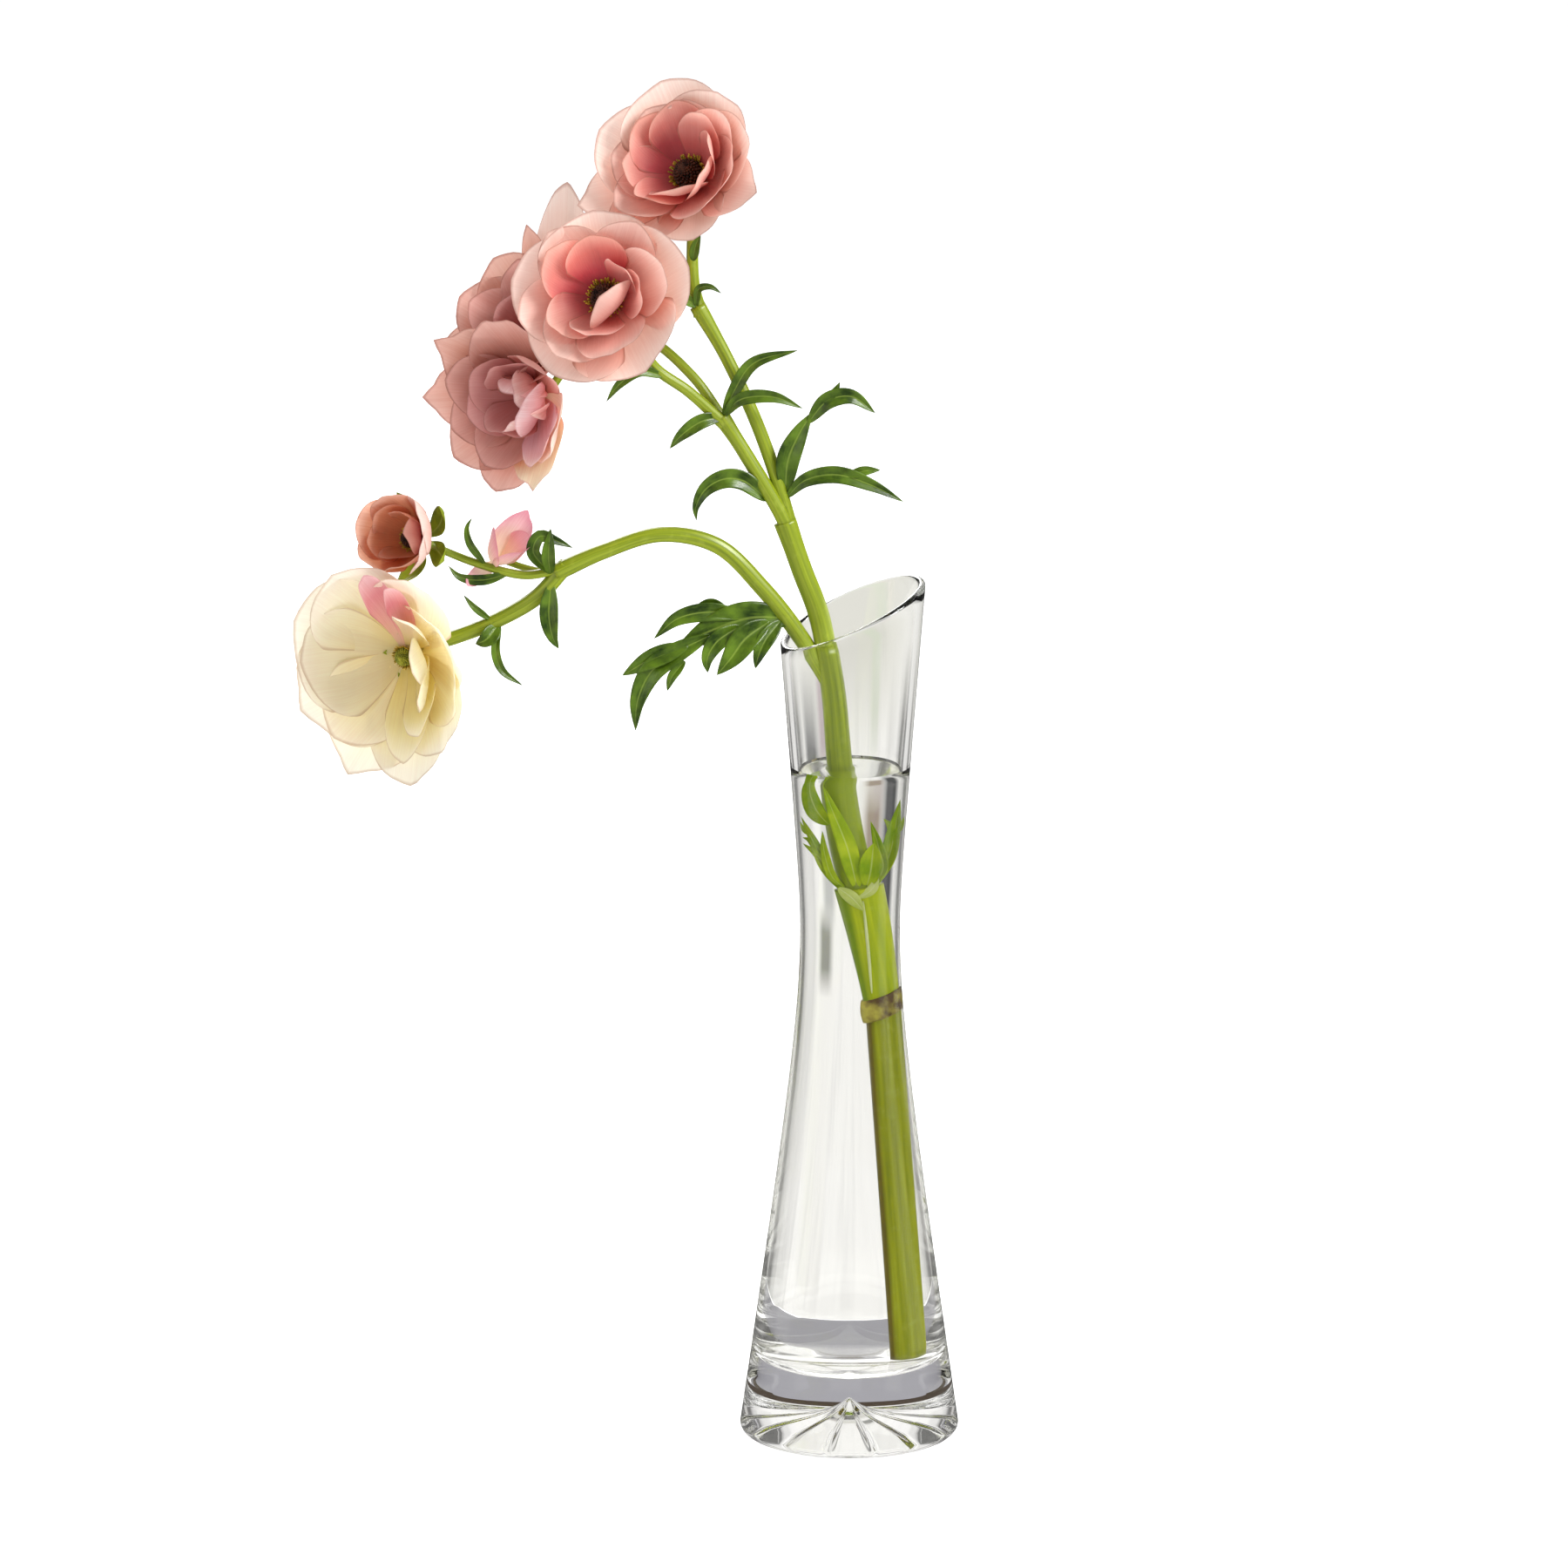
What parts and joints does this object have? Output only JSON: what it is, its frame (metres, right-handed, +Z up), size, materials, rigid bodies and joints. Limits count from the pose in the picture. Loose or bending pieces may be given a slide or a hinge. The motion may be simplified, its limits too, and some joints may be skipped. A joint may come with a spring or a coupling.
{
  "type": "bud vase with flower spray",
  "caption": "Slender clear glass bud vase with a waist, a slant-cut flared rim and a heavy fluted foot, holding water and a removable branching ranunculus spray.",
  "frame": {"origin": "centre of the bounding box's underside, on the surface the vase stands on; the vase's own axis is at X 60.6 mm, Y 2.2 mm because the spray hangs out to -X", "axes": "+Z up along the vase's axis, +X to the right of the front view towards the rim's high side, +Y away from the viewer"},
  "size_m": [0.1816, 0.0772, 0.3765],
  "materials": {
    "glass": "gloss",
    "water": "gloss",
    "stem": "satin",
    "scar": "matte",
    "leaf": "satin",
    "sepal": "satin",
    "blush": "matte",
    "rose": "matte",
    "mauve": "matte",
    "coral": "matte",
    "cream": "matte",
    "stigma": "matte",
    "green_stigma": "matte"
  },
  "bodies": {
    "vase": {"vase_body": "glass", "water": "water"},
    "spray": {"arch_hook_leaf": "leaf", "arch_leaf": "leaf", "arch_leaf_down": "leaf", "arching_stem": "stem", "bud_flower_calyx": "sepal", "bud_flower_centre": "stigma", "bud_flower_inner_petals": "coral", "bud_flower_outer_petals": "coral", "bud_pedicel": "stem", "cream_bract_curled": "leaf", "cream_bract_round": "leaf", "cream_flower_calyx": "sepal", "cream_flower_centre": "green_stigma", "cream_flower_inner_petals": "cream", "cream_flower_outer_petals": "cream", "cream_pedicel": "stem", "drooping_flower_calyx": "sepal", "drooping_flower_centre": "stigma", "drooping_flower_inner_petals": "mauve", "drooping_flower_outer_petals": "mauve", "drooping_pedicel": "stem", "forked_leaf": "leaf", "half_open_bud": "blush", "half_open_pedicel": "stem", "hooked_leaf": "leaf", "lower_stem": "stem", "middle_flower_calyx": "sepal", "middle_flower_centre": "stigma", "middle_flower_inner_petals": "rose", "middle_flower_outer_petals": "blush", "middle_leaf": "leaf", "middle_pedicel": "stem", "middle_stem": "stem", "node_collar": "scar", "pedicel_leaf": "leaf", "rear_flower_calyx": "sepal", "rear_flower_centre": "stigma", "rear_flower_inner_petals": "mauve", "rear_flower_outer_petals": "blush", "rear_pedicel": "stem", "rim_leaf": "leaf", "sheathed_stem": "stem", "surface_leaf": "leaf", "top_flower_calyx": "sepal", "top_flower_centre": "stigma", "top_flower_inner_petals": "rose", "top_flower_outer_petals": "blush", "top_leaf": "leaf", "top_pedicel": "stem", "top_stem": "stem", "upper_stem": "stem", "upright_leaf": "leaf", "upright_stem": "stem", "whorl_leaf_front": "stem", "whorl_leaf_left": "leaf", "whorl_leaf_right": "leaf", "whorl_leaf_round": "leaf"}
  },
  "joints": [
    {"name": "spray_lift", "type": "slide", "parent": "vase", "child": "spray", "axis": [-0.0698, 0, 0.9976], "range_m": [0, 0.23], "deforming": ["water"]}
  ]
}
